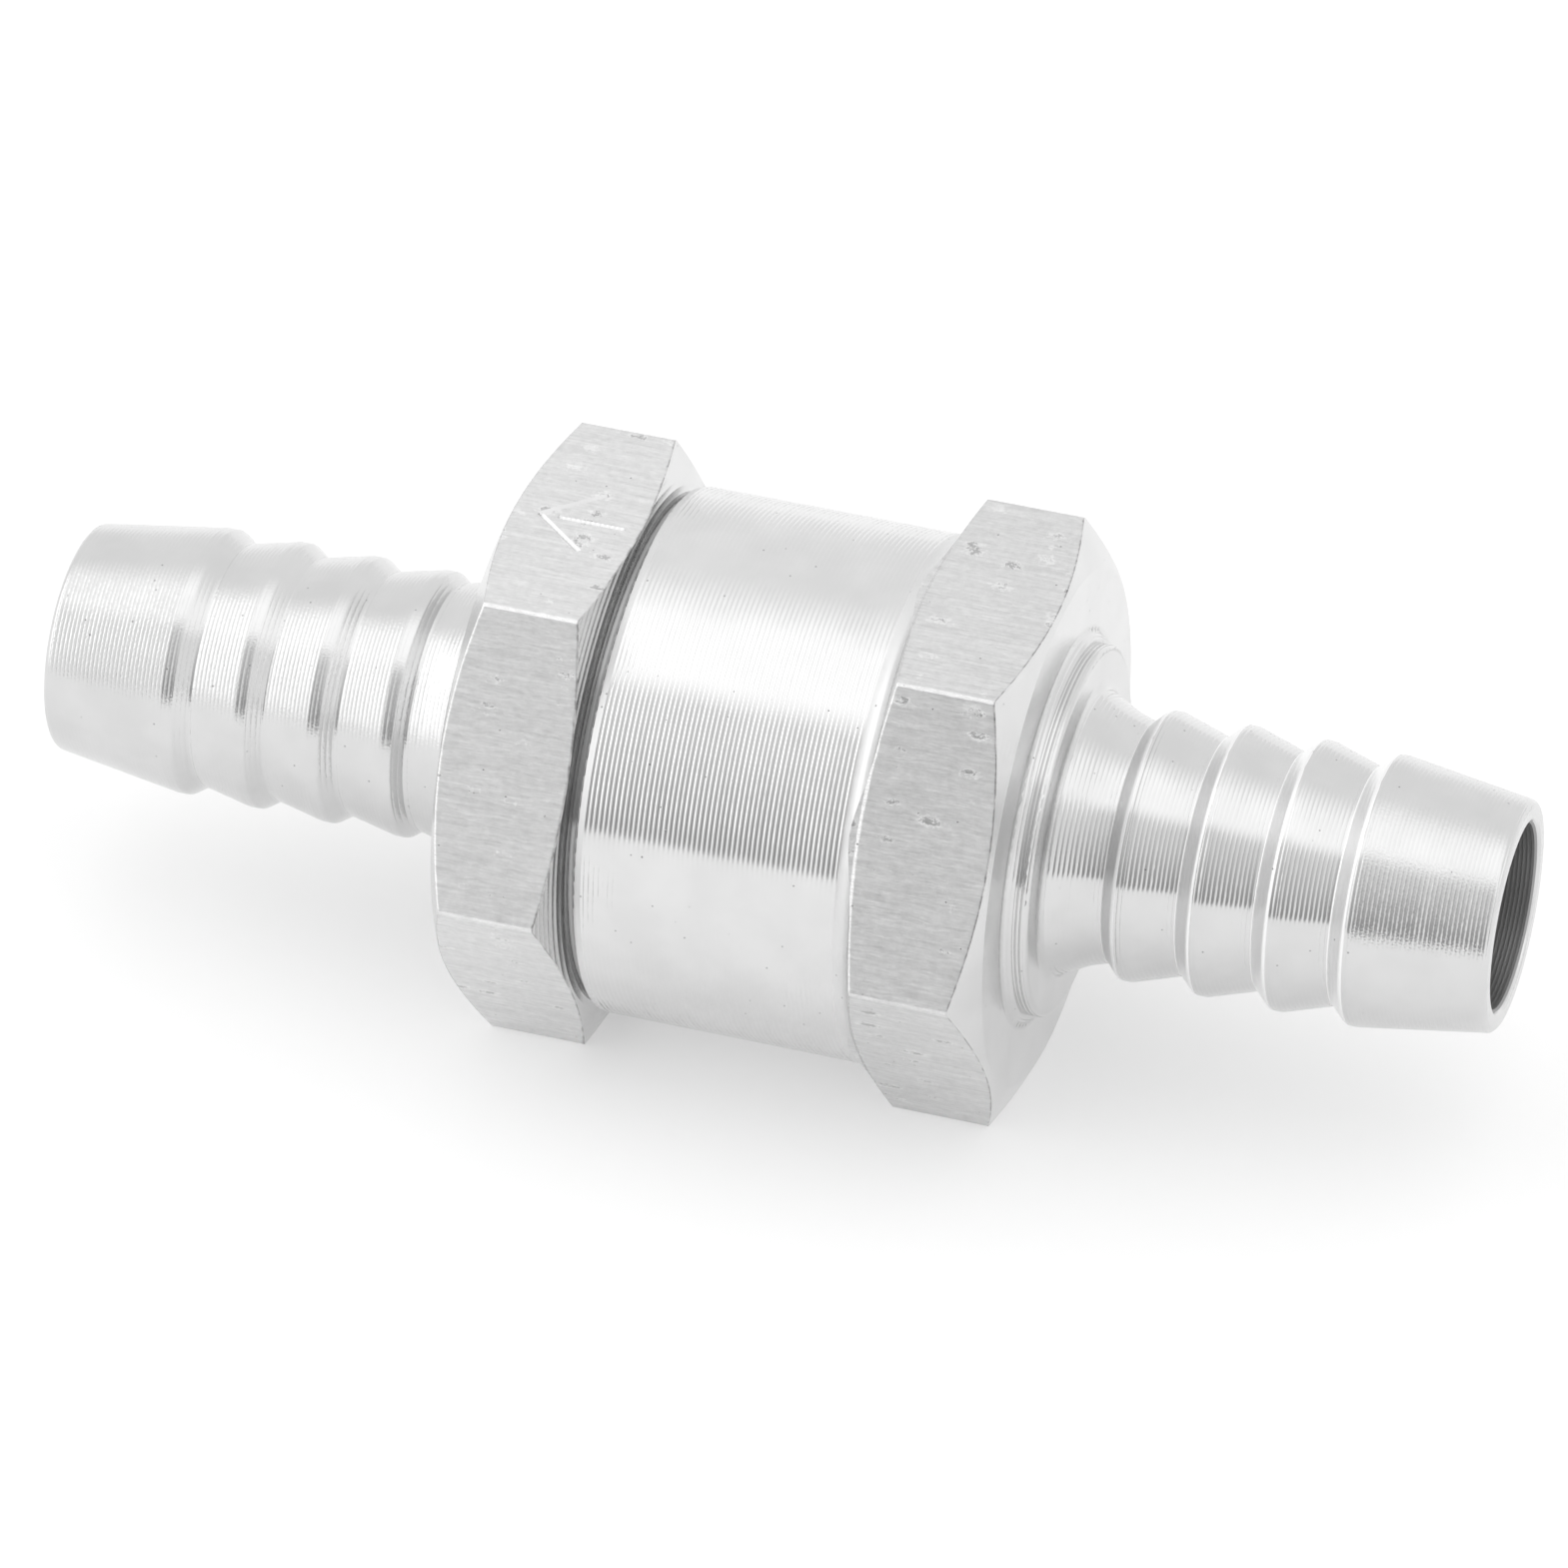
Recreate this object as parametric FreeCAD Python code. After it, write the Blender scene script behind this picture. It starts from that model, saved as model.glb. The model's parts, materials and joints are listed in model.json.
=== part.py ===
"""In-line check valve with a hose barb at each end, for a 12 mm hose.

The valve's axis is X. Flow goes in at the +X end and out at the -X end.
+Z is up, square to a pair of hex flats, and the origin is the middle of
the valve's length, on its axis. All lengths are in millimetres.
"""

import FreeCAD, Part
import math
import os

V = FreeCAD.Vector
X_AXIS = V(1, 0, 0)

# ---- Lengths along the axis, from the outlet end to the inlet end ----
outlet_barb_length = 18.00
outlet_neck_length = 2.42
boss_height = 1.08
cap_hex_length = 6.42
joint_gap = 0.45
barrel_length = 13.11
body_hex_length = 6.32
inlet_neck_length = 2.62
inlet_barb_length = 18.05

# ---- Hex bar stock and what is turned from it ----
hex_across_flats = 25.0
corner_break = 0.05             # the bar's long corners are this much short of sharp
barrel_undercut = 0.05          # the barrel is turned just under the flats
mouth_run = 0.38                # slight taper round the barrel's open end
mouth_drop = 0.10
shoulder_fillet = 1.0           # barrel to inlet hex
shoulder_slope = 0.35           # axial run per radius on that hex's barrel side
outer_chamfer_slope = 0.46      # the same, on the inlet hex's hose side
cap_outer_slope = 0.50          # the same, on the cap hex's hose side
cap_inner_slope = 0.33          # the same, on the cap hex's barrel side
body_face_drop = 0.30           # the turned face's edge lies this far inside the flats
cap_face_drop = 0.20            # the same, on the cap hex's hose side
cap_inner_face_drop = 0.55      # the same, on the cap hex's barrel side
boss_radius = 8.74
boss_root_step = 0.17           # small shoulder at the boss's root
boss_root_height = 0.40
boss_root_fillet = 0.35
boss_edge_round = 0.30
neck_top_wall = 2.45            # neck's wall at the boss, outside the bore
neck_fillet = 0.60
neck_waist_run = 0.92
neck_waist_rise = 0.25
neck_round = 4.0

# ---- Hose barbs ----
bore_radius = 4.35
crest_wall = 1.98               # each wall is what stands outside the bore
rim_wall = 1.05
inlet_valley_wall = 1.23
outlet_valley_wall = 1.45
rim_round = 0.38
nose_length = 6.15
crest_land = 0.50
crest_pitch = 3.59
crest_count = 4
crest_round = 0.30
step_length = 0.75
valley_round = 0.15
bore_mouth_chamfer = 0.25

# ---- Flow arrow cut in the cap hex's top flat ----
arrow_tip_inset = 1.35          # from the hex's outer face
arrow_shaft = 4.10
arrow_shaft_gap = 0.90
arrow_wing_run = 2.60
arrow_wing_rise = 2.20
arrow_width = 0.30
arrow_depth = 0.12

# ---- Screwed joint between cap and body ----
thread_radius = 10.0            # M20 x 1, nominal radius
thread_pitch = 1.0
thread_depth = 0.61
thread_crest_flat = 0.14
thread_clearance = 0.05
thread_turns = 4
spigot_tip_length = 0.60        # plain end of the spigot past its last ridge
spigot_tip_chamfer = 0.25
spigot_bore_chamfer = 0.20
spigot_wall = 1.39              # from the thread's root to the spigot's bore
spigot_shoulder = 0.80          # width of the ledge that the spigot's end bottoms on
thread_lead = 0.35              # from the seal's pocket to the first ridge
collar_depth = 0.62             # from the flats in to the collar that stops on the barrel
collar_clearance = 0.02
joint_seal_section = 1.56
seal_groove_clearance = 0.02

# ---- Seat, poppet and its seal ----
floor_wall = 5.0                # from the chamber's floor to the hex's outer face
floor_corner_round = 0.60
seal_section = 1.80
seal_mean_over_bore = 0.925     # seal ring's mean radius, beyond the bore's
seat_clearance = 0.05
seat_mouth_over_bore = 2.425    # cone's wide end, beyond the bore's radius
throat_over_bore = 0.30
throat_length = 1.60
head_over_bore = 2.0
head_thickness = 2.05
retainer_thickness = 1.20
retainer_over_bore = 0.475
retainer_rim = 0.25
retainer_gap = 0.06             # the clamped ring bulges past the retainer's back by this
land_clearance = 0.02
screw_radius = 1.25
screw_head_radius = 2.25
screw_head_height = 1.30
screw_length = 5.0
screw_slot_width = 0.60
screw_slot_depth = 0.70
screw_clearance = 0.02
screw_hole_clearance = 0.10
screw_tip_chamfer = 0.30
tap_overrun = 0.60
drill_point = 0.70
stem_radius = 2.0
stop_radius = 2.60
spring_boss_radius = 3.0
spring_boss_height = 0.90
poppet_travel = 3.0
stop_clearance = 0.05

# ---- Stem guide and its retaining ring ----
guide_clearance = 0.03
guide_ring_wall = 1.20
guide_ring_length = 2.0
guide_ledge = 1.0               # width of the ledge that the guide sits on
guide_floor_wall = 4.20         # from that ledge to the cap hex's outer face
outlet_cone_slope = 1.15        # axial run per radius, from the ledge down to the bore
outlet_cone_round = 1.0
hub_radius = 3.10
hub_ahead = 1.0                 # hub past the guide ring, towards the poppet
hub_behind = 0.50
web_width = 1.20
web_count = 3
stem_clearance = 0.05
stem_tail = 0.20                # stem past the hub with the valve shut
circlip_thickness = 1.0
circlip_width = 1.70
circlip_groove_depth = 0.40
circlip_gap_angle = 50.0
circlip_clearance = 0.05
circlip_lug_radius = 1.05
circlip_hole_radius = 0.55
circlip_lug_inset = 0.35

# ---- Return spring ----
spring_wire = 0.80
spring_mean_radius = 3.62
spring_turns = 5.0
spring_end_clearance = 0.03

# ---- Small corner rounds on the inner pieces, and how far a cut runs past its face ----
fine_round = 0.10
soft_round = 0.20
large_round = 0.40
overrun = 0.50

# ---- Derived places on the axis ----
overall_length = (
    outlet_barb_length + outlet_neck_length + boss_height + cap_hex_length + joint_gap
    + barrel_length + body_hex_length + boss_height + inlet_neck_length + inlet_barb_length
)
outlet_end = -overall_length / 2
cap_boss_face = outlet_end + outlet_barb_length + outlet_neck_length
cap_hex_outer = cap_boss_face + boss_height
cap_hex_inner = cap_hex_outer + cap_hex_length
barrel_mouth = cap_hex_inner + joint_gap
shoulder_x = barrel_mouth + barrel_length
body_hex_outer = shoulder_x + body_hex_length
body_boss_face = body_hex_outer + boss_height
inlet_end = body_boss_face + inlet_neck_length + inlet_barb_length

flat_radius = hex_across_flats / 2
corner_radius = flat_radius / math.cos(math.pi / 6)
stock_radius = corner_radius + 0.3
barrel_radius = flat_radius - barrel_undercut
neck_top_radius = bore_radius + neck_top_wall
crest_radius = bore_radius + crest_wall
rim_radius = bore_radius + rim_wall
inlet_valley_radius = bore_radius + inlet_valley_wall
outlet_valley_radius = bore_radius + outlet_valley_wall

collar_radius = flat_radius - collar_depth
thread_root = thread_radius - thread_depth
spigot_bore = thread_root - spigot_wall
chamber_radius = thread_root - spigot_shoulder
seal_bore = thread_root + joint_seal_section + 2 * seal_groove_clearance
seal_pocket_end = cap_hex_inner + joint_seal_section + 2 * seal_groove_clearance
thread_start = seal_pocket_end + thread_lead
spigot_end = thread_start + thread_turns * thread_pitch + spigot_tip_length

seal_mean = bore_radius + seal_mean_over_bore
seat_mouth = bore_radius + seat_mouth_over_bore
throat_radius = bore_radius + throat_over_bore
seat_start = body_hex_outer - floor_wall
seat_sum = seat_start + seat_mouth   # x plus radius is this all along the 45 degree seat
throat_start = seat_sum - throat_radius
throat_end = throat_start + throat_length
seal_x = seat_sum - (seal_section / 2 + seat_clearance) * math.sqrt(2) - seal_mean
head_front = seal_x - seal_section / 2
head_back = head_front - head_thickness
head_radius = bore_radius + head_over_bore
seal_land = seal_mean - seal_section / 2 - land_clearance
retainer_back = seal_x + seal_section / 2 - retainer_gap
retainer_front = retainer_back + retainer_thickness
retainer_radius = bore_radius + retainer_over_bore

guide_back = cap_hex_outer + guide_floor_wall
guide_front = guide_back + guide_ring_length
hub_front = guide_front + hub_ahead
hub_back = guide_back - hub_behind
stop_x = hub_front + poppet_travel + stop_clearance
stem_end = hub_back - stem_tail
circlip_x = guide_front + circlip_clearance
guide_radius = spigot_bore - guide_clearance


# ---- Helpers ----
def rounded_wire(points):
    """Closed wire in the X-Z half plane from (x, radius, corner round) points."""
    flat = [V(p[0], 0, p[1]) for p in points]
    rounds = [p[2] if len(p) > 2 else 0.0 for p in points]
    count = len(flat)
    ins, outs, mids = [], [], []
    for i in range(count):
        here, before, after = flat[i], flat[i - 1], flat[(i + 1) % count]
        to_before, to_after = before - here, after - here
        reach = 0.45 * min(to_before.Length, to_after.Length)
        to_before.normalize()
        to_after.normalize()
        half = to_before.getAngle(to_after) / 2
        if rounds[i] <= 0 or half > math.radians(89.9):
            ins.append(here)
            outs.append(here)
            mids.append(None)
            continue
        run = min(rounds[i] / math.tan(half), reach)
        radius = run * math.tan(half)
        middle = to_before + to_after
        middle.normalize()
        centre = here + middle * (radius / math.sin(half))
        ins.append(here + to_before * run)
        outs.append(here + to_after * run)
        mids.append(centre - middle * radius)
    edges = []
    for i in range(count):
        if mids[i] is not None:
            edges.append(Part.Arc(ins[i], mids[i], outs[i]).toShape())
        start, end = outs[i], ins[(i + 1) % count]
        if (end - start).Length > 1e-6:
            edges.append(Part.makeLine(start, end))
    return Part.Wire(edges)


def turned(points):
    """Solid of revolution about the valve's axis from a closed outline."""
    face = Part.Face(rounded_wire(points))
    return face.revolve(V(0, 0, 0), X_AXIS, 360)


def cylinder(radius, start, length, y=0.0, z=0.0):
    """Cylinder along +X."""
    return Part.makeCylinder(radius, length, V(start, y, z), X_AXIS)


def hex_bar(start, length):
    """Length of hex bar with two of its flats square to Z and its long corners broken."""
    corners = []
    for k in range(7):
        angle = math.radians(60 * k)
        corners.append(V(start, corner_radius * math.cos(angle), corner_radius * math.sin(angle)))
    sharp = Part.Face(Part.makePolygon(corners)).extrude(V(length, 0, 0))
    return sharp.common(cylinder(corner_radius - corner_break, start, length))


def cut_flats(blank, first, last):
    """Mill the six flats on a turned blank between two places on its axis."""
    start = first - overrun
    length = last - first + 2 * overrun
    sleeve = cylinder(stock_radius + overrun, start, length)
    return blank.cut(sleeve.cut(hex_bar(start - overrun, length + 2 * overrun)))


def barb_outline(end, inward, valley_radius, barb_length):
    """Outside of a hose barb, from its open end to the neck's first point."""
    points = [(end, rim_radius, rim_round)]
    for k in range(crest_count):
        land = nose_length + k * crest_pitch
        drop = land + crest_land
        points.append((end + inward * land, crest_radius, crest_round))
        points.append((end + inward * drop, crest_radius, crest_round))
        if k < crest_count - 1:
            points.append((end + inward * (drop + step_length), valley_radius, valley_round))
    points.append((end + inward * barb_length, valley_radius + 0.08, valley_round))
    return points


def neck_and_boss(face, outward, hex_face, face_drop, chamfer_slope, neck_root):
    """Outside from the neck's foot over the boss to the hex's turned face and chamfer."""
    face_edge = flat_radius - face_drop
    run = stock_radius - face_edge
    root_x = hex_face + outward * boss_root_height
    root_radius = boss_radius + boss_root_step
    return [
        (neck_root[0] - outward * neck_waist_run, neck_root[1] + neck_waist_rise, neck_round),
        (face, neck_top_radius, neck_fillet),
        (face, boss_radius, boss_edge_round),
        (root_x, boss_radius),
        (root_x, root_radius),
        (hex_face, root_radius + boss_root_fillet, boss_root_fillet),
        (hex_face, face_edge),
        (hex_face - outward * run * chamfer_slope, stock_radius),
    ]


def thread_ridges(grown):
    """Outline of the thread's parallel ridges, or of their grooves with the clearance added."""
    points = []
    slant = thread_pitch / 2 - thread_crest_flat
    flat = thread_crest_flat + 2 * grown
    for k in range(thread_turns):
        start = thread_start + k * thread_pitch - grown
        points.append((start, thread_root + grown))
        points.append((start + slant, thread_radius + grown))
        points.append((start + slant + flat, thread_radius + grown))
        points.append((start + 2 * slant + flat, thread_root + grown))
    return points


# ---- Pieces of the valve's body ----
def make_inlet_body():
    """Barrel, hex and inlet barb in one turned piece, with chamber, seat and bore."""
    barb = barb_outline(inlet_end, -1, inlet_valley_radius, inlet_barb_length)
    outside = barb + neck_and_boss(
        body_boss_face, 1, body_hex_outer, body_face_drop, outer_chamfer_slope, barb[-1]
    )
    top_run = (stock_radius - barrel_radius) * shoulder_slope
    outside += [
        (shoulder_x + top_run, stock_radius),
        (shoulder_x, barrel_radius, shoulder_fillet),
        (barrel_mouth + mouth_run, barrel_radius),
        (barrel_mouth, barrel_radius - mouth_drop, mouth_drop),
    ]
    thread_minor = thread_root + thread_clearance
    inside = [
        (barrel_mouth, seal_bore),
        (seal_pocket_end, seal_bore),
        (seal_pocket_end, thread_minor),
    ]
    inside += thread_ridges(thread_clearance)
    inside += [
        (spigot_end, thread_minor),
        (spigot_end, chamber_radius),
        (seat_start, chamber_radius, floor_corner_round),
        (seat_start, seat_mouth, soft_round),
        (throat_start, throat_radius),
        (throat_end, throat_radius),
        (throat_end + throat_over_bore, bore_radius),
        (inlet_end - bore_mouth_chamfer, bore_radius),
        (inlet_end, bore_radius + bore_mouth_chamfer),
    ]
    blank = turned(outside + inside)
    return cut_flats(blank, shoulder_x - shoulder_fillet, body_hex_outer)


def arrow_groove(start, end):
    """V groove along a line in the cap hex's top flat."""
    line = end - start
    side = V(0, 0, 1).cross(line)
    side.normalize()
    half = side * (arrow_width / 2)
    lift = V(0, 0, 0.05 * arrow_width)
    triangle = Part.makePolygon([
        start + half + lift, start - half + lift, start - V(0, 0, arrow_depth), start + half + lift,
    ])
    return Part.Face(triangle).extrude(line)


def flow_arrow():
    """Three grooves that make an arrow pointing at the outlet."""
    tip = V(cap_hex_outer + arrow_tip_inset, 0, flat_radius)
    tail = tip + V(arrow_shaft, 0, 0)
    cuts = [arrow_groove(tail, tip + V(arrow_shaft_gap, 0, 0))]
    for side in (1, -1):
        wing = tip + V(arrow_wing_run, side * arrow_wing_rise, 0)
        cuts.append(arrow_groove(wing, tip))
    return cuts


def make_outlet_cap():
    """Outlet barb, hex and threaded spigot in one turned piece."""
    barb = barb_outline(outlet_end, 1, outlet_valley_radius, outlet_barb_length)
    outside = barb + neck_and_boss(
        cap_boss_face, -1, cap_hex_outer, cap_face_drop, cap_outer_slope, barb[-1]
    )
    inner_edge = flat_radius - cap_inner_face_drop
    outside += [
        (cap_hex_inner - (stock_radius - inner_edge) * cap_inner_slope, stock_radius),
        (cap_hex_inner, inner_edge),
        (cap_hex_inner, collar_radius),
        (barrel_mouth - collar_clearance, collar_radius),
        (barrel_mouth - collar_clearance, seal_bore),
        (cap_hex_inner, seal_bore),
        (cap_hex_inner, thread_root),
    ]
    outside += thread_ridges(0)
    outside += [
        (spigot_end - spigot_tip_chamfer, thread_root),
        (spigot_end, thread_root - spigot_tip_chamfer),
    ]
    ledge_radius = spigot_bore - guide_ledge
    cone_end = guide_back - outlet_cone_slope * (ledge_radius - bore_radius)
    groove_radius = spigot_bore + circlip_groove_depth
    groove_front = circlip_x + circlip_thickness + circlip_clearance
    groove_back = circlip_x - circlip_clearance
    inside = [
        (spigot_end, spigot_bore + spigot_bore_chamfer),
        (spigot_end - spigot_bore_chamfer, spigot_bore),
        (groove_front, spigot_bore),
        (groove_front, groove_radius),
        (groove_back, groove_radius),
        (groove_back, spigot_bore),
        (guide_back, spigot_bore),
        (guide_back, ledge_radius, soft_round),
        (cone_end, bore_radius, outlet_cone_round),
        (outlet_end + bore_mouth_chamfer, bore_radius),
        (outlet_end, bore_radius + bore_mouth_chamfer),
    ]
    blank = turned(outside + inside)
    return cut_flats(blank, cap_hex_outer, cap_hex_inner).cut(flow_arrow())


def ring_seal(mean_radius, section, place):
    """Round-section sealing ring about the valve's axis."""
    return Part.makeTorus(mean_radius, section / 2, V(place, 0, 0), X_AXIS)


def make_joint_seal():
    """Sealing ring in the pocket between the cap's spigot and the barrel's mouth."""
    middle = cap_hex_inner + joint_seal_section / 2 + seal_groove_clearance
    mean = thread_root + joint_seal_section / 2 + seal_groove_clearance
    return ring_seal(mean, joint_seal_section, middle)


# ---- Poppet group ----
def make_poppet():
    """Head with a land for its seal, stop shoulder and guided stem."""
    tapped = screw_radius + screw_clearance
    tap_end = retainer_front - screw_length - tap_overrun
    return turned([
        (retainer_back, tapped),
        (retainer_back, seal_land, fine_round),
        (head_front, seal_land),
        (head_front, head_radius, soft_round),
        (head_back, head_radius, large_round),
        (head_back, spring_boss_radius),
        (head_back - spring_boss_height, spring_boss_radius, soft_round),
        (head_back - spring_boss_height, stop_radius),
        (stop_x, stop_radius, soft_round),
        (stop_x, stem_radius),
        (stem_end, stem_radius, large_round),
        (stem_end, 0),
        (tap_end - drill_point, 0),
        (tap_end, tapped),
    ])


def make_seal_retainer():
    """Coned washer that holds the seal on the poppet's head."""
    hole = screw_radius + screw_hole_clearance
    return turned([
        (retainer_back, hole),
        (retainer_back, retainer_radius, fine_round),
        (retainer_back + retainer_rim, retainer_radius, fine_round),
        (retainer_front, retainer_radius - (retainer_thickness - retainer_rim), soft_round),
        (retainer_front, hole),
    ])


def make_retainer_screw():
    """Slotted cheese-head screw that clamps the retainer."""
    top = retainer_front + screw_head_height
    tip = retainer_front - screw_length
    body = turned([
        (tip, 0),
        (tip, screw_radius - screw_tip_chamfer),
        (tip + screw_tip_chamfer, screw_radius),
        (retainer_front, screw_radius),
        (retainer_front, screw_head_radius, fine_round),
        (top, screw_head_radius, soft_round),
        (top, 0),
    ])
    reach = screw_head_radius + overrun
    corner = V(top - screw_slot_depth, -screw_slot_width / 2, -reach)
    slot = Part.makeBox(screw_slot_depth + overrun, screw_slot_width, 2 * reach, corner)
    return body.cut(slot)


# ---- Guide, retaining ring and spring ----
def make_stem_guide():
    """Hub that the stem slides in, held in a rim by webs, with ports between."""
    bore = stem_radius + stem_clearance
    rim = cylinder(guide_radius, guide_back, guide_ring_length)
    through = guide_ring_length + 2 * overrun
    rim = rim.cut(cylinder(guide_radius - guide_ring_wall, guide_back - overrun, through))
    hub_length = hub_front - hub_back
    pieces = [cylinder(hub_radius, hub_back, hub_length)]
    web_reach = guide_radius - guide_ring_wall / 2
    for k in range(web_count):
        web = Part.makeBox(guide_ring_length, web_width, web_reach, V(guide_back, -web_width / 2, 0))
        web.rotate(V(0, 0, 0), X_AXIS, 360 / web_count * k)
        pieces.append(web)
    guide = rim.multiFuse(pieces).removeSplitter()
    return guide.cut(cylinder(bore, hub_back - overrun, hub_length + 2 * overrun))


def make_guide_retaining_ring():
    """Internal circlip with two lugs, sprung into its groove in the spigot."""
    outer = spigot_bore + circlip_groove_depth - circlip_clearance
    ring = cylinder(outer, circlip_x, circlip_thickness)
    back = circlip_x - overrun
    through = circlip_thickness + 2 * overrun
    ring = ring.cut(cylinder(outer - circlip_width, back, through))
    half_gap = math.radians(circlip_gap_angle / 2)
    far = 2 * outer
    side, up = far * math.sin(half_gap), far * math.cos(half_gap)
    mouth = Part.makePolygon([V(back, 0, 0), V(back, side, up), V(back, -side, up), V(back, 0, 0)])
    wedge = Part.Face(mouth).extrude(V(through, 0, 0))
    ring = ring.cut(wedge)
    lug_circle = outer - circlip_width / 2 - circlip_lug_inset
    lugs, holes = [], []
    for side in (1, -1):
        y = side * lug_circle * math.sin(half_gap)
        z = lug_circle * math.cos(half_gap)
        lugs.append(cylinder(circlip_lug_radius, circlip_x, circlip_thickness, y, z))
        holes.append(cylinder(circlip_hole_radius, back, through, y, z))
    return ring.multiFuse(lugs).removeSplitter().cut(holes)


def make_return_spring():
    """Round-wire compression spring between the guide's rim and the poppet's head."""
    start = guide_front + spring_end_clearance + spring_wire / 2
    end = head_back - spring_end_clearance - spring_wire / 2
    pitch = (end - start) / spring_turns
    helix = Part.makeHelix(pitch, end - start, spring_mean_radius)
    wire_end = Part.Wire(Part.makeCircle(spring_wire / 2, V(spring_mean_radius, 0, 0), V(0, 1, 0)))
    spring = Part.Wire(helix).makePipeShell([wire_end], True, True)
    spring.rotate(V(0, 0, 0), V(0, 1, 0), 90)
    spring.translate(V(start, 0, 0))
    return spring


def main():
    os.makedirs("parts", exist_ok=True)
    makers = {
        "inlet_body": make_inlet_body,
        "outlet_cap": make_outlet_cap,
        "joint_seal": make_joint_seal,
        "poppet": make_poppet,
        "poppet_seal": lambda: ring_seal(seal_mean, seal_section, seal_x),
        "seal_retainer": make_seal_retainer,
        "retainer_screw": make_retainer_screw,
        "stem_guide": make_stem_guide,
        "guide_retaining_ring": make_guide_retaining_ring,
        "return_spring": make_return_spring,
    }
    for name, make in makers.items():
        shape = make()
        print(f"{name}: valid {shape.isValid()}, solids {len(shape.Solids)}, volume {shape.Volume:.2f}")
        shape.exportStep(f"parts/{name}.step")


main()
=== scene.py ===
"""Looks of the in-line check valve: bare turned aluminium on a white table, in a light tent."""

import json
import math
from types import SimpleNamespace

import bpy
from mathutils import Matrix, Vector


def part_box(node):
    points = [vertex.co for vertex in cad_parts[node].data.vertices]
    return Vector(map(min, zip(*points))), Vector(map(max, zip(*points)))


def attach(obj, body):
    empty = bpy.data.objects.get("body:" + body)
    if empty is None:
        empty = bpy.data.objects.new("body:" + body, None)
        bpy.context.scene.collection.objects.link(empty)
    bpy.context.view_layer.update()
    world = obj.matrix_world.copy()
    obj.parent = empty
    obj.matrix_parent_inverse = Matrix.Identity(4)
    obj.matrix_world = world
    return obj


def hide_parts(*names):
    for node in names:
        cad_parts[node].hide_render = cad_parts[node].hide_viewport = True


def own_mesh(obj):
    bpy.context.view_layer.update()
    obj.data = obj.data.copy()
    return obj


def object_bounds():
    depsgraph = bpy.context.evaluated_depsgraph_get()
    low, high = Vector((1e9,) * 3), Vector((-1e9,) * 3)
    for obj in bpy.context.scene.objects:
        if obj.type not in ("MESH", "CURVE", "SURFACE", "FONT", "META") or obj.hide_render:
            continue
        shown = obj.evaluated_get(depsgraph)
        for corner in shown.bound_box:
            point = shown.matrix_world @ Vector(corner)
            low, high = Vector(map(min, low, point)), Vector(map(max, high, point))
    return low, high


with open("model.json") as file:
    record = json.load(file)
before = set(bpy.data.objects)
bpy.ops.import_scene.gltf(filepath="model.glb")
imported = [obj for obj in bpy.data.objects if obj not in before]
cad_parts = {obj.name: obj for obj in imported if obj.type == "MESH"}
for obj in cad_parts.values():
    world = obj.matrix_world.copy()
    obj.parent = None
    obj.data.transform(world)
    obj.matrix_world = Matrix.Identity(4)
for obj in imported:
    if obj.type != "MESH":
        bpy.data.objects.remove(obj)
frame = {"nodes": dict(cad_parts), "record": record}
cad_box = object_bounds()

MM = 0.001
SIN60 = math.sin(math.radians(60))
nodes = frame["nodes"]
scene = bpy.context.scene

# ---- Sizes read from the frame, in millimetres ----
mounts = {mount["name"]: mount for mount in frame["record"]["mounts"]}
cap_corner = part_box("outlet_cap")[1] / MM
flat_radius = cap_corner.z
corner_radius = cap_corner.y
bore_radius = mounts["inlet_bore"]["dims"]["r_mm"]
first_crest = mounts["inlet_barb"]["pos_m"][0] / MM
joint_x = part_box("inlet_body")[0].x / MM


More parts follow.
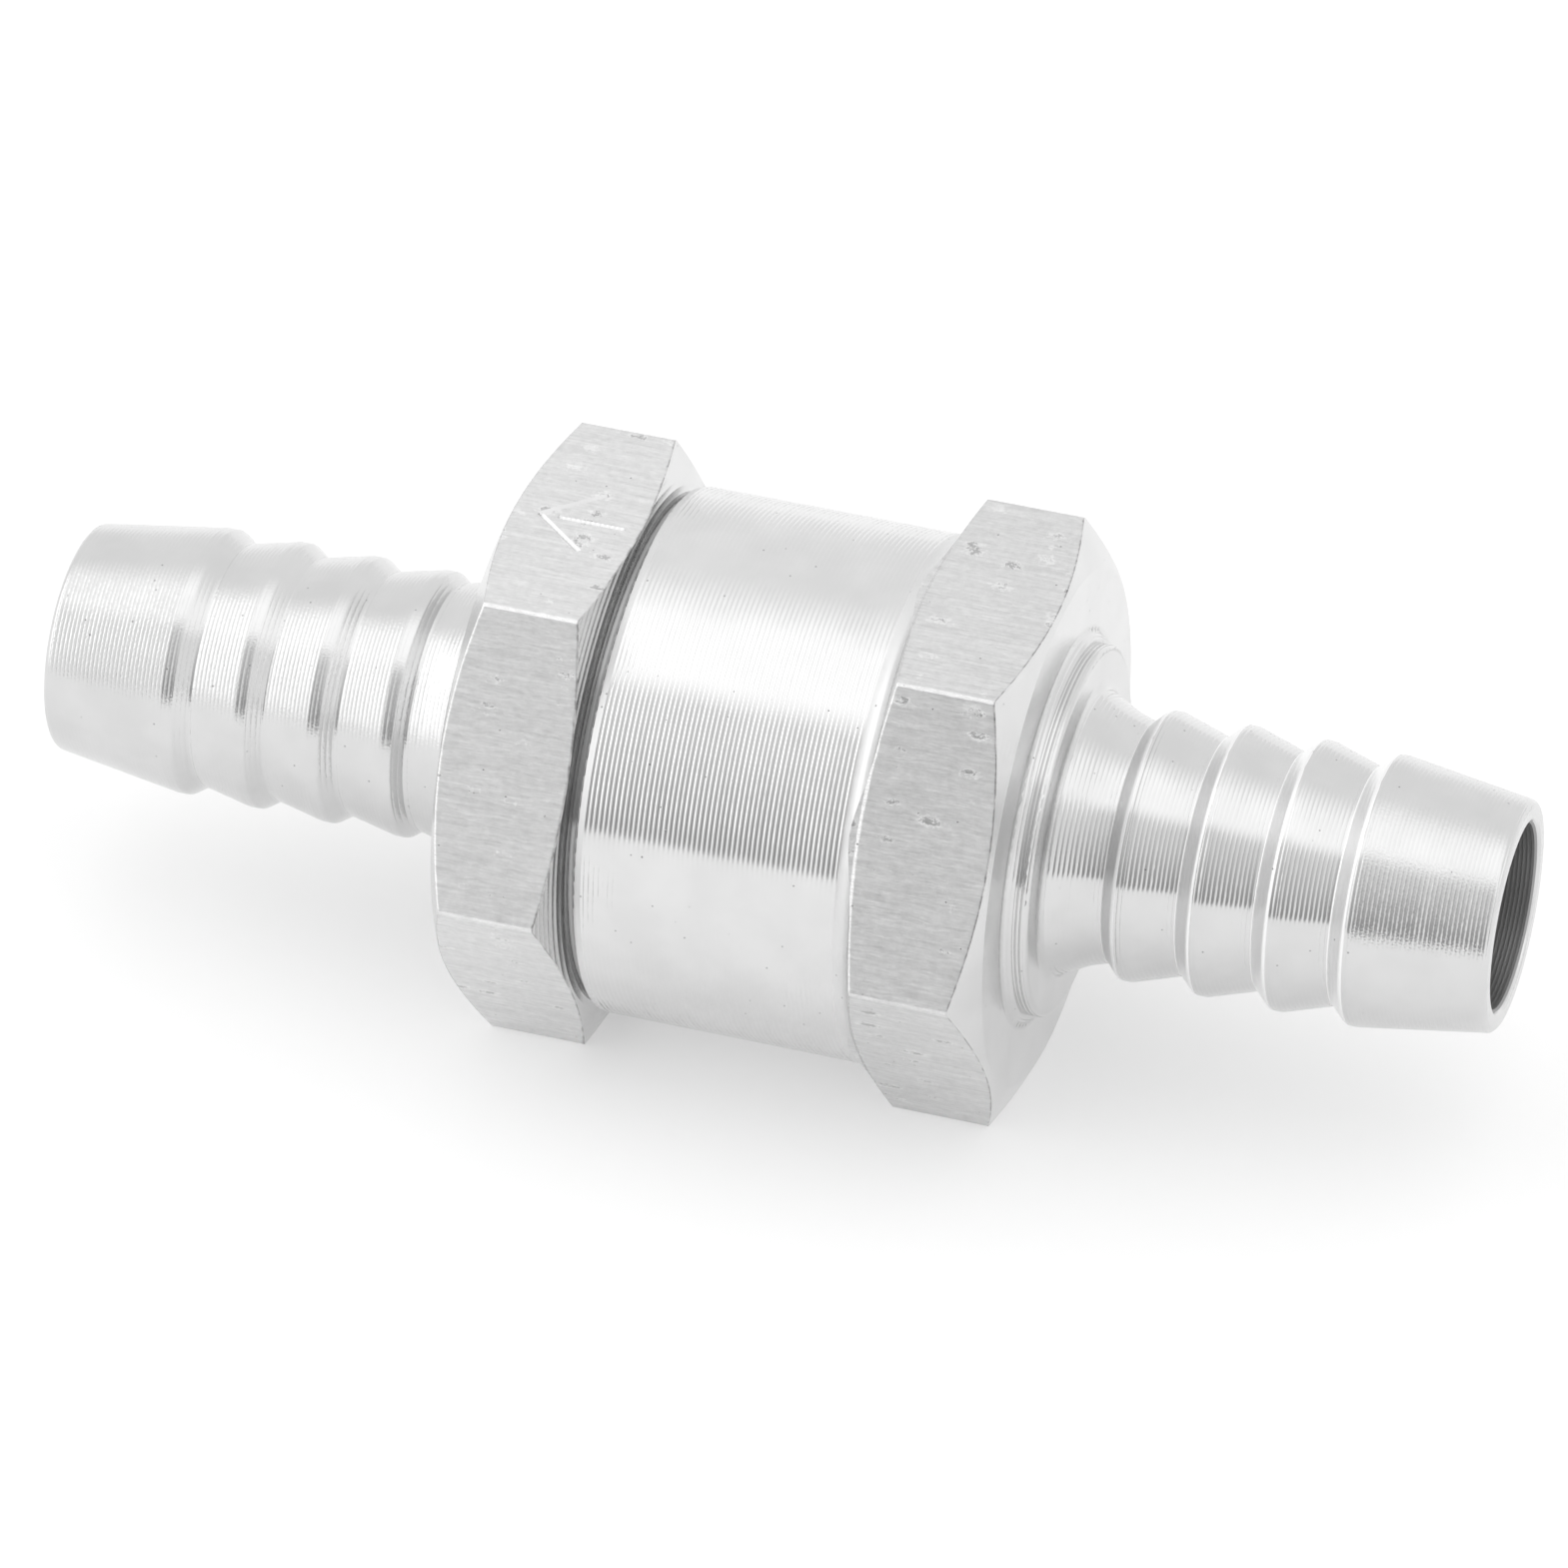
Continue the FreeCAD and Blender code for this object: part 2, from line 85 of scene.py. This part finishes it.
# ---- Node building ----
class Graph:
    """Short calls for the shader nodes used below. Every call but node returns an output socket."""

    def __init__(self, tree):
        self.tree = tree

    def node(self, kind, inputs=None, **settings):
        made = self.tree.nodes.new(kind)
        for name, value in settings.items():
            setattr(made, name, value)
        for name, value in (inputs or {}).items():
            self.plug(made.inputs[name], value)
        return made

    def plug(self, socket, value):
        if isinstance(value, bpy.types.NodeSocket):
            self.tree.links.new(value, socket)
        else:
            socket.default_value = value

    def math(self, operation, *values, clamp=False):
        inputs = dict(enumerate(values))
        return self.node("ShaderNodeMath", inputs, operation=operation, use_clamp=clamp).outputs[0]

    def add(self, *values):
        """Sum of all the values."""
        total = values[0]
        for value in values[1:]:
            total = self.math("ADD", total, value)
        return total

    def times(self, *values):
        """Product of all the values. On masks of 0 and 1 it means and."""
        product = values[0]
        for value in values[1:]:
            product = self.math("MULTIPLY", product, value)
        return product

    def minus(self, a, b):
        return self.math("SUBTRACT", a, b)

    def largest(self, *values):
        """Largest of all the values. On masks of 0 and 1 it means or."""
        best = values[0]
        for value in values[1:]:
            best = self.math("MAXIMUM", best, value)
        return best

    def absolute(self, value):
        return self.math("ABSOLUTE", value)

    def above(self, value, limit):
        return self.math("GREATER_THAN", value, limit)

    def below(self, value, limit):
        return self.math("LESS_THAN", value, limit)

    def vector(self, operation, *values):
        made = self.node("ShaderNodeVectorMath", operation=operation)
        for socket, value in zip(made.inputs, values):
            self.plug(socket, value)
        return made.outputs["Value" if operation == "LENGTH" else "Vector"]

    def scaled(self, vector, factor):
        inputs = {"Vector": vector, "Scale": factor}
        return self.node("ShaderNodeVectorMath", inputs, operation="SCALE").outputs["Vector"]

    def unit(self, vector):
        return self.vector("NORMALIZE", vector)

    def split(self, vector):
        return tuple(self.node("ShaderNodeSeparateXYZ", {0: vector}).outputs)

    def join(self, x, y, z):
        return self.node("ShaderNodeCombineXYZ", {0: x, 1: y, 2: z}).outputs[0]

    def ramp(self, value, low, high, to_low=0.0, to_high=1.0):
        """Smooth step from to_low to to_high as value goes from low to high."""
        inputs = {"Value": value, "From Min": low, "From Max": high, "To Min": to_low, "To Max": to_high}
        return self.node("ShaderNodeMapRange", inputs, interpolation_type="SMOOTHSTEP").outputs[0]

    def mix(self, factor, a, b):
        inputs = {"Factor": factor, "A": a, "B": b}
        return self.node("ShaderNodeMix", inputs, data_type="FLOAT").outputs[0]

    def mix_vector(self, factor, a, b):
        made = self.node("ShaderNodeMix", data_type="VECTOR")
        for socket, value in ((0, factor), (4, a), (5, b)):
            self.plug(made.inputs[socket], value)
        return made.outputs[1]

    def mix_colour(self, factor, a, b):
        made = self.node("ShaderNodeMix", data_type="RGBA")
        for socket, value in ((0, factor), (6, a), (7, b)):
            self.plug(made.inputs[socket], value)
        return made.outputs[2]

    def noise(self, vector, scale, detail=2.0, roughness=0.5):
        inputs = {"Vector": vector, "Scale": scale, "Detail": detail, "Roughness": roughness}
        return self.node("ShaderNodeTexNoise", inputs).outputs["Fac"]

    def cells(self, vector, scale):
        """Voronoi cells: distance to the nearest centre, and three random numbers for its cell."""
        made = self.node("ShaderNodeTexVoronoi", {"Vector": vector, "Scale": scale})
        return made.outputs["Distance"], self.split(made.outputs["Color"])

    def random(self, vector):
        return self.node("ShaderNodeTexWhiteNoise", {"Vector": vector}).outputs["Value"]

    def grey(self, value):
        return self.node("ShaderNodeCombineColor", {0: value, 1: value, 2: value}).outputs[0]

    def bump(self, height, depth, strength=1.0, normal=None):
        """Normal over a height, where a height of 1 stands depth proud."""
        inputs = {"Strength": strength, "Distance": depth, "Height": height}
        if normal is not None:
            inputs["Normal"] = normal
        return self.node("ShaderNodeBump", inputs).outputs[0]


def new_material(name, metallic, roughness, colour):
    """A material with a Principled shader, its graph, and the node that says where a point is."""
    material = bpy.data.materials.new(name)
    material.use_nodes = True
    material.diffuse_color = (*colour, 1)
    shader = material.node_tree.nodes["Principled BSDF"]
    shader.inputs["Metallic"].default_value = metallic
    shader.inputs["Roughness"].default_value = roughness
    shader.inputs["Base Color"].default_value = (*colour, 1)
    graph = Graph(material.node_tree)
    where = graph.node("ShaderNodeTexCoord")
    return material, graph, shader, where


def place_mm(graph, where):
    """The point on the surface in the frame's own coordinates, in millimetres."""
    return graph.scaled(where.outputs["Object"], 1 / MM)


# ---- Aluminium, turned from extruded hex bar ----
CHAMFERS = (                    # x where each cuts the middle of a flat, x per radius, side it faces
    (-13.18, 0.50, -1),
    (-7.04, -0.33, 1),
    (6.72, 0.35, -1),
    (12.89, -0.46, 1),
)
BARREL_PITCH = 0.235            # tool advance a turn, in millimetres
BARB_PITCH = 0.205
FACE_PITCH = 0.31
GROOVE_SLOPE = 0.42             # how far a scallop's edge leans
FACE_SHARE = 0.5                # of that slope, where the tool went across a face
BARREL_FROM = 9.5               # radius above which metal belongs to the barrel and hexes
CAP_BARB_WITHIN = 7.0
HEX_FACES_BEYOND = 10.0         # the hexes' hose sides lie beyond this x
INLET_BARB_BEYOND = 15.0
ALONG_AXIS = 0.05               # a normal's x below this is taken as square to the axis
BURR_WIDTH = (0.06, 0.17)       # a burr is whole up to the first distance and gone at the second
CORNER_WIDTH = (0.06, 0.26)     # the same for a broken corner


def surface_masks(g, place, normal):
    """Which kind of surface a point is on: each mask is 1 there and 0 elsewhere."""
    x, y, z = g.split(place)
    nx = g.split(normal)[0]
    radial = g.join(0.0, y, z)
    radius = g.vector("LENGTH", radial)
    lean = g.absolute(nx)

    # Distances to the three pairs of flats tell hex flats and their corners from turned metal.
    rising, level = g.times(y, SIN60), g.times(z, 0.5)
    pair_a, pair_b, pair_c = g.absolute(z), g.absolute(g.add(rising, level)), g.absolute(g.minus(rising, level))
    nearest = g.largest(pair_a, pair_b, pair_c)
    farthest = g.math("MINIMUM", g.math("MINIMUM", pair_a, pair_b), pair_c)
    middle = g.minus(g.minus(g.add(pair_a, pair_b, pair_c), nearest), farthest)

    upright = g.below(lean, ALONG_AXIS)
    flat = g.largest(g.above(nearest, flat_radius - 0.02), g.above(radius, corner_radius - 0.05))
    flat = g.times(flat, upright)
    on_cap = g.below(x, joint_x)
    on_barrel = g.above(radius, BARREL_FROM)
    facing = g.ramp(lean, 0.7, 0.9)
    arrow_floor = g.times(g.above(z, flat_radius - 0.13), g.below(radius, flat_radius + 0.5), upright)
    arrow_floor = g.times(arrow_floor, g.minus(1.0, flat), g.below(x, joint_x - 1.0))
    by_joint = g.below(g.absolute(g.minus(x, joint_x)), 0.6)
    return SimpleNamespace(
        x=x,
        y=y,
        z=z,
        radius=radius,
        outward=g.unit(radial),
        to_corner=g.math("DIVIDE", g.minus(flat_radius, middle), SIN60),
        flat=flat,
        arrow=arrow_floor,
        on_cap=on_cap,
        on_cap_barb=g.times(on_cap, g.below(radius, CAP_BARB_WITHIN)),
        on_nose=g.above(g.absolute(x), first_crest),
        on_barrel=on_barrel,
        facing=facing,
        plain_face=g.times(facing, g.above(g.absolute(x), HEX_FACES_BEYOND)),
        blended=g.times(g.above(lean, ALONG_AXIS), g.below(lean, 0.8), on_barrel),
        barb_back=g.times(g.below(nx, -0.12), g.above(x, INLET_BARB_BEYOND)),
        # Groove at the joint between cap and barrel, used only for painted shade.
        shaded_groove=g.times(by_joint, g.below(radius, flat_radius - 0.58)),
        inside=g.below(radius, bore_radius + 0.1),
    )


def turning_rings(g, place, normal, on):
    """The normal leant by the shallow scallop that each pass of the tool leaves."""
    pitch = g.mix(on.facing, g.mix(on.on_barrel, BARB_PITCH, BARREL_PITCH), FACE_PITCH)
    along = g.mix(g.above(on.facing, 0.5), on.x, on.radius)
    wander = g.times(g.noise(g.join(on.x, on.radius, 0.0), 1.1), 0.05)
    phase = g.math("DIVIDE", g.add(along, wander), pitch)
    tool = g.random(g.join(g.math("FLOOR", phase), on.on_barrel, 0.5))
    scallop = g.minus(g.times(g.math("FRACT", phase), 2.0), 1.0)
    chatter = g.noise(g.join(g.times(on.x, 2.0), on.y, on.z), 2.2, 3.0)
    strength = g.times(
        g.mix(tool, 0.85, 1.12),
        g.ramp(chatter, 0.2, 0.8, 0.8, 1.15),
        g.mix(on.facing, GROOVE_SLOPE, FACE_SHARE * GROOVE_SLOPE),
        g.minus(1.0, on.flat),
        g.mix(on.inside, 1.0, 0.3),
        g.mix(on.on_nose, 1.0, 0.85),
        g.mix(on.on_cap_barb, 1.0, 0.32),
        g.mix(on.plain_face, 1.0, 0.08),
        g.mix(on.barb_back, 1.0, 0.2),
        g.mix(on.blended, 1.0, 0.1),
    )
    around = g.vector("CROSS_PRODUCT", (1.0, 0.0, 0.0), on.outward)
    meridian = g.vector("CROSS_PRODUCT", normal, around)
    tilt = g.scaled(meridian, g.times(scallop, strength))
    return g.unit(g.vector("ADD", normal, tilt))


def broken_corners(g, ragged, on):
    """Mask of the narrow strip where one flat turns over into the next."""
    return g.times(g.ramp(g.add(on.to_corner, ragged), *CORNER_WIDTH, 1.0, 0.0), on.flat)


def burred_lines(g, ragged, on):
    """Mask of the lines where turned chamfers cut the flats, and that mask signed by side."""
    burr, side = 0.0, 0.0
    past_flats = g.minus(on.radius, flat_radius)
    for start, run, faces in CHAMFERS:
        line_x = g.add(g.times(past_flats, run), start)
        away = g.absolute(g.minus(on.x, line_x))
        line = g.ramp(g.add(away, ragged), *BURR_WIDTH, 1.0, 0.0)
        burr = g.largest(burr, line)
        side = g.add(side, g.times(line, faces))
    return g.times(burr, on.flat), g.times(side, on.flat)


def knocks(g, place):
    """Masks of the dents, the lips round them and the small pits."""
    push = g.scaled(g.join(g.noise(place, 4.0), g.noise(place, 5.0), 0.0), 1.1)
    knocked = g.vector("MULTIPLY", g.vector("ADD", place, push), (0.6, 1.4, 1.4))
    distance, (choice, _, spread) = g.cells(knocked, 0.95)
    inward = g.math("DIVIDE", distance, g.add(g.times(spread, 0.30), 0.05))
    chosen = g.above(choice, 0.66)
    dent = g.times(g.ramp(inward, 0.55, 1.0, 1.0, 0.0), chosen)
    lip_highlight = g.times(g.ramp(inward, 0.7, 1.0), g.ramp(inward, 1.0, 1.5, 1.0, 0.0), chosen)
    distance, (_, choice, _) = g.cells(place, 2.1)
    pit = g.times(g.ramp(distance, 0.05, 0.13, 1.0, 0.0), g.above(choice, 0.90))
    return dent, lip_highlight, pit


def drawn_streaks(g, place, on):
    """Coarse and fine streaks along the bar."""
    wavy = g.add(on.z, g.times(g.noise(place, 0.6), 0.5))
    coarse = g.noise(g.join(g.times(on.x, 0.05), on.y, wavy), 6.0, 5.0, 0.75)
    fine = g.noise(g.join(g.times(on.x, 0.12), on.y, on.z), 14.0, 3.0, 0.7)
    return coarse, fine


def metal_height(g, place, on, coarse, fine, dent, pit):
    """Relief in millimetres: streaks and dents on the flats, torn metal on the barbs, pits all over."""
    height = g.minus(g.add(g.times(coarse, 0.020), g.times(fine, 0.010)), g.times(dent, 0.045))
    height = g.times(height, on.flat)
    torn = g.times(g.noise(place, 11.0, 3.0), g.mix(g.largest(on.on_nose, on.on_cap_barb), 0.0, 0.010))
    return g.minus(g.add(height, torn), g.times(pit, g.mix(on.flat, 0.006, 0.03)))


def flat_tone(g, place, on, coarse, fine, dent, lip_highlight, burr_side):
    """Grey of the hex flats: worn streaks, mottle, painted shade in the dents, a painted highlight on their
    lips and a dark burr on one side.
    """
    mottle = g.times(g.noise(place, 2.4, 5.0, 0.75), 0.24)
    worn = g.minus(g.add(g.times(coarse, 0.42), g.times(fine, 0.20), mottle), 0.43)
    tone = g.add(worn, g.mix(on.on_cap, 0.67, 0.72))
    # Painted shade darkens each dent and a painted highlight lightens the lip round it.
    tone = g.add(g.minus(tone, g.times(dent, 0.20)), g.times(lip_highlight, 0.10))
    broken = g.ramp(g.noise(place, 1.3, 2.0), 0.42, 0.56, 0.25, 1.0)
    return g.minus(tone, g.times(g.largest(burr_side, 0.0), broken, 0.35))


def metal_tone(g, place, on, flats, pit):
    """Grey of the whole piece, with painted shade in the bore and in the groove at the joint."""
    turned = g.ramp(g.noise(place, 0.35, 3.0), 0.3, 0.7, 0.69, 0.73)
    tone = g.mix(on.flat, turned, flats)
    tone = g.mix(on.arrow, tone, 0.92)
    tone = g.mix(on.barb_back, tone, 0.97)
    tone = g.mix(pit, tone, 0.3)
    # Painted shade: metal inside the bore is darkened to a grey of 0.34.
    tone = g.mix(on.inside, tone, 0.34)
    tone = g.times(tone, g.mix(g.largest(on.on_barrel, on.inside), 0.93, 1.0))
    # Painted shade: the groove at the joint is darkened to a grey of 0.33.
    return g.mix(on.shaded_groove, tone, 0.33)


def metal_roughness(g, on, fine, edges):
    rough = g.mix(on.flat, g.mix(on.facing, 0.13, 0.24), g.ramp(fine, 0.2, 0.8, 0.36, 0.50))
    for mask, value in (
        (edges, 0.16),
        (on.blended, 0.40),
        (on.arrow, 0.50),
        (on.barb_back, 0.34),
        (on.inside, 0.5),
    ):
        rough = g.mix(mask, rough, value)
    return rough


def turned_aluminium():
    """Turning rings where a lathe tool went, drawn streaks and dents on the hex flats."""
    material, g, shader, where = new_material("turned_aluminium", 1.0, 0.12, (0.7, 0.7, 0.7))
    place = place_mm(g, where)
    normal = where.outputs["Normal"]
    on = surface_masks(g, place, normal)
    ragged = g.times(g.noise(place, 3.0, 3.0), 0.10)
    corner = broken_corners(g, ragged, on)
    burr, burr_side = burred_lines(g, ragged, on)
    coarse, fine = drawn_streaks(g, place, on)
    dent, lip_highlight, pit = knocks(g, place)

    shaped = turning_rings(g, place, normal, on)
    shaped = g.unit(g.mix_vector(corner, shaped, on.outward))
    shaped = g.unit(g.vector("ADD", shaped, g.join(g.times(burr_side, 0.5), 0.0, 0.0)))
    height = metal_height(g, place, on, coarse, fine, dent, pit)
    flats = flat_tone(g, place, on, coarse, fine, dent, lip_highlight, burr_side)
    g.plug(shader.inputs["Normal"], g.bump(height, MM, normal=shaped))
    g.plug(shader.inputs["Base Color"], g.grey(metal_tone(g, place, on, flats, pit)))
    g.plug(shader.inputs["Roughness"], metal_roughness(g, on, fine, g.largest(corner, burr)))
    return material


# ---- Inner pieces ----
def turned_brass():
    """Poppet and retainer: fine rings and a slight tarnish."""
    material, g, shader, where = new_material("turned_brass", 1.0, 0.2, (0.80, 0.62, 0.33))
    place = place_mm(g, where)
    x, y, z = g.split(place)
    radius = g.vector("LENGTH", g.join(0.0, y, z))
    ring_pitch = 0.12
    rings = g.math("SINE", g.times(g.add(x, radius), 2 * math.pi / ring_pitch))
    tarnish = g.noise(place, 0.8, 4.0)
    colour = g.mix_colour(g.ramp(tarnish, 0.45, 0.8), (0.82, 0.64, 0.34, 1), (0.55, 0.38, 0.18, 1))
    g.plug(shader.inputs["Normal"], g.bump(rings, 0.006 * MM, strength=0.4))
    g.plug(shader.inputs["Base Color"], colour)
    g.plug(shader.inputs["Roughness"], g.ramp(tarnish, 0.3, 0.8, 0.18, 0.38))
    return material


def nitrile_rubber():
    """Black rubber rings: a fine moulded grain and a dusty bloom."""
    material, g, shader, where = new_material("nitrile_rubber", 0.0, 0.55, (0.025, 0.025, 0.027))
    place = place_mm(g, where)
    grain = g.noise(place, 14.0, 3.0)
    bloom = g.noise(place, 0.9, 4.0)
    g.plug(shader.inputs["Normal"], g.bump(grain, 0.01 * MM, strength=0.5))
    g.plug(shader.inputs["Base Color"], g.grey(g.ramp(bloom, 0.4, 0.9, 0.020, 0.05)))
    g.plug(shader.inputs["Roughness"], g.ramp(grain, 0.3, 0.7, 0.45, 0.65))
    return material


def drawn_steel(name, colour, roughness):
    """Wire and small hardware: drawing lines and a little colour drift."""
    material, g, shader, where = new_material(name, 1.0, roughness, colour)
    place = place_mm(g, where)
    lines = g.noise(g.vector("MULTIPLY", place, (0.6, 2.0, 2.0)), 9.0, 3.0)
    shade = g.ramp(g.noise(place, 0.7, 2.0), 0.3, 0.8, 0.85, 1.1)
    g.plug(shader.inputs["Normal"], g.bump(lines, 0.008 * MM, strength=0.4))
    g.plug(shader.inputs["Base Color"], g.scaled(colour, shade))
    g.plug(shader.inputs["Roughness"], g.ramp(lines, 0.3, 0.7, roughness * 0.8, roughness * 1.3))
    return material


def acetal():
    """Moulded guide: waxy natural plastic with faint flow marks."""
    material, g, shader, where = new_material("acetal", 0.0, 0.38, (0.84, 0.84, 0.80))
    place = place_mm(g, where)
    flow = g.noise(g.vector("MULTIPLY", place, (1.0, 0.4, 0.4)), 1.4, 4.0)
    grain = g.noise(place, 12.0, 2.0)
    g.plug(shader.inputs["Normal"], g.bump(grain, 0.006 * MM, strength=0.3))
    g.plug(shader.inputs["Base Color"], g.grey(g.ramp(flow, 0.3, 0.8, 0.78, 0.86)))
    g.plug(shader.inputs["Roughness"], g.ramp(flow, 0.2, 0.8, 0.32, 0.46))
    shader.inputs["Subsurface Weight"].default_value = 0.1
    shader.inputs["Subsurface Radius"].default_value = (MM, MM, MM)
    return material


def dress(node, material):
    """Give a CAD node its material."""
    slots = nodes[node].data.materials
    slots.clear()
    slots.append(material)


stainless = drawn_steel("stainless_steel", (0.62, 0.62, 0.60), 0.22)
rubber = nitrile_rubber()
brass = turned_brass()
aluminium = turned_aluminium()
for name, material in {
    "inlet_body": aluminium,
    "outlet_cap": aluminium,
    "joint_seal": rubber,
    "poppet": brass,
    "poppet_seal": rubber,
    "seal_retainer": brass,
    "retainer_screw": stainless,
    "stem_guide": acetal(),
    "guide_retaining_ring": drawn_steel("spring_steel", (0.17, 0.16, 0.15), 0.4),
}.items():
    dress(name, material)


# ---- Return spring with closed, ground ends ----
SPRING_TURNS = 6.5
CLOSED_TURNS = 0.9              # laid flat at each end
OPENING_TURNS = 0.5             # over which the pitch grows to its full value
CLOSED_RISE = 0.28              # climb of a closed turn, in proportion to the rest
OPEN_RISE = 1.5                 # added to that in an open turn
WIRE_RADIUS = 0.4 * MM
GROUND_OFF = 0.45               # of the wire's radius, ground from each end
TURN_POINTS = 64
WIRE_POINTS = 20


def coil_centres(low, high):
    """Points along the middle of the wire, from one ground end to the other."""
    mean = (high.y - low.y) / 2 - WIRE_RADIUS
    first = low.x + (1 - GROUND_OFF) * WIRE_RADIUS
    last = high.x - (1 - GROUND_OFF) * WIRE_RADIUS
    steps = int(SPRING_TURNS * TURN_POINTS)
    rise = [0.0]
    for i in range(steps):
        turn = (i + 0.5) / TURN_POINTS
        from_end = min(turn, SPRING_TURNS - turn)
        share = min(1.0, max(0.0, (from_end - CLOSED_TURNS) / OPENING_TURNS))
        rise.append(rise[-1] + CLOSED_RISE + OPEN_RISE * share * share * (3 - 2 * share))
    centres = []
    for i in range(steps + 1):
        angle = 2 * math.pi * i / TURN_POINTS
        x = first + (last - first) * rise[i] / rise[-1]
        centres.append(Vector((x, mean * math.cos(angle), mean * math.sin(angle))))
    return centres


def spring_mesh(low, high):
    """Coil wound to the CAD spring's box, its end turns laid flat and ground off."""
    centres = coil_centres(low, high)
    points, faces = [], []
    for centre in centres:
        outward = Vector((0, centre.y, centre.z)).normalized()
        for k in range(WIRE_POINTS):
            turn = 2 * math.pi * k / WIRE_POINTS
            point = centre + outward * (WIRE_RADIUS * math.cos(turn))
            point.x = min(max(point.x + WIRE_RADIUS * math.sin(turn), low.x), high.x)
            points.append(point)
    last_ring = len(points) - WIRE_POINTS
    for ring in range(0, last_ring, WIRE_POINTS):
        for k in range(WIRE_POINTS):
            a, b = ring + k, ring + (k + 1) % WIRE_POINTS
            faces.append((a, a + WIRE_POINTS, b + WIRE_POINTS, b))
    faces.append(tuple(range(WIRE_POINTS)))
    faces.append(tuple(reversed(range(last_ring, last_ring + WIRE_POINTS))))
    mesh = bpy.data.meshes.new("wound_spring")
    mesh.from_pydata(points, [], faces)
    mesh.update()
    for polygon in mesh.polygons:
        polygon.use_smooth = len(polygon.vertices) == 4
    return mesh


spring_low, spring_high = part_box("return_spring")
spring = bpy.data.objects.new("wound_spring", spring_mesh(spring_low, spring_high))
scene.collection.objects.link(spring)
spring.data.materials.append(stainless)
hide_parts("return_spring")
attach(spring, "valve_body")
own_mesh(spring)

# ---- Table: white acrylic, lit from below ----
TABLE_HALF = 3.0
TABLE_GLOW = 0.37


def add_table():
    corners = [(-TABLE_HALF, -TABLE_HALF, 0), (TABLE_HALF, -TABLE_HALF, 0)]
    corners += [(TABLE_HALF, TABLE_HALF, 0), (-TABLE_HALF, TABLE_HALF, 0)]
    mesh = bpy.data.meshes.new("table")
    mesh.from_pydata(corners, [], [(0, 1, 2, 3)])
    table = bpy.data.objects.new("table", mesh)
    table.location.z = cad_box[0].z
    scene.collection.objects.link(table)
    acrylic, _, shader, _ = new_material("acrylic", 0.0, 0.9, (0.64, 0.64, 0.64))
    shader.inputs["Emission Color"].default_value = (1, 1, 1, 1)
    shader.inputs["Emission Strength"].default_value = TABLE_GLOW
    mesh.materials.append(acrylic)


add_table()

# ---- Light tent: white cloth all round, boxes overhead and at one side, a gap at the front ----
CLOTH = 1.0
SOFT_BOX = 0.45                 # added to the cloth overhead
SIDE_BOX = 0.60                 # added at the -X side
SIDE_GROWS = 1.45               # by which the side box is brighter at its top
GAP_LOW = 0.33                  # in place of the cloth, at the gap's foot
GAP_HIGH = 0.71                 # the same at its top
GAP_LIFT = 0.24                 # more than that, right of the middle
GAP_TOP = 60.0                  # climb where the gap ends, in degrees


def light_tent():
    """Radiance by direction; climb is the angle above the front horizon, over the top and down behind."""
    world = bpy.data.worlds.new("light_tent")
    scene.world = world
    world.use_nodes = True
    g = Graph(world.node_tree)
    background = world.node_tree.nodes["Background"]
    x, y, z = g.split(g.node("ShaderNodeTexCoord").outputs["Generated"])
    climb = g.times(g.math("ARCTAN2", z, g.times(y, -1.0)), 180 / math.pi)
    box = g.times(
        g.ramp(climb, 60.0, 74.0),
        g.ramp(climb, 97.0, 128.0, 1.0, 0.0),
        g.ramp(x, -0.75, -0.30),
        g.ramp(x, -0.2, 0.5, 1.0, 0.8),
    )
    side = g.times(
        g.ramp(climb, -2.0, 4.0),
        g.ramp(climb, 105.0, 130.0, 1.0, 0.0),
        g.ramp(x, -0.60, -0.70),
        g.ramp(x, -0.98, -0.94),
        g.ramp(climb, 10.0, 65.0, 1.0, SIDE_GROWS),
    )
    gap = g.times(
        g.ramp(climb, -4.0, 0.0),
        g.ramp(climb, GAP_TOP, 66.0, 1.0, 0.0),
        g.ramp(x, -0.42, -0.24),
        g.ramp(x, 0.48, 0.64, 1.0, 0.0),
    )
    gap_high = g.ramp(x, -0.15, 0.15, GAP_HIGH, GAP_HIGH + GAP_LIFT)
    gloom = g.mix(g.math("DIVIDE", climb, GAP_TOP, clamp=True), GAP_LOW, gap_high)
    light = g.add(g.mix(gap, CLOTH, gloom), g.times(box, SOFT_BOX), g.times(side, SIDE_BOX))
    g.plug(background.inputs["Color"], g.grey(light))
    background.inputs["Strength"].default_value = 1.0


light_tent()

# ---- Camera ----
AZIMUTH = math.radians(17.43)
ELEVATION = math.radians(38.7)
DISTANCE = 0.5177
AIM = Vector((-0.0004, 0.0007, -0.0012))


def add_camera():
    """Camera at the photograph's angle and framing."""
    level = math.cos(ELEVATION)
    back = Vector((math.sin(AZIMUTH) * level, -math.cos(AZIMUTH) * level, math.sin(ELEVATION)))
    lens = bpy.data.cameras.new("camera")
    lens.sensor_width = 36.0
    lens.lens = 256.0
    lens.clip_start = 0.01
    camera = bpy.data.objects.new("camera", lens)
    camera.location = AIM + back * DISTANCE
    camera.rotation_mode = "QUATERNION"
    camera.rotation_quaternion = (-back).to_track_quat("-Z", "Y")
    scene.collection.objects.link(camera)
    scene.camera = camera


add_camera()
scene.view_settings.view_transform = "Standard"
scene.view_settings.look = "None"
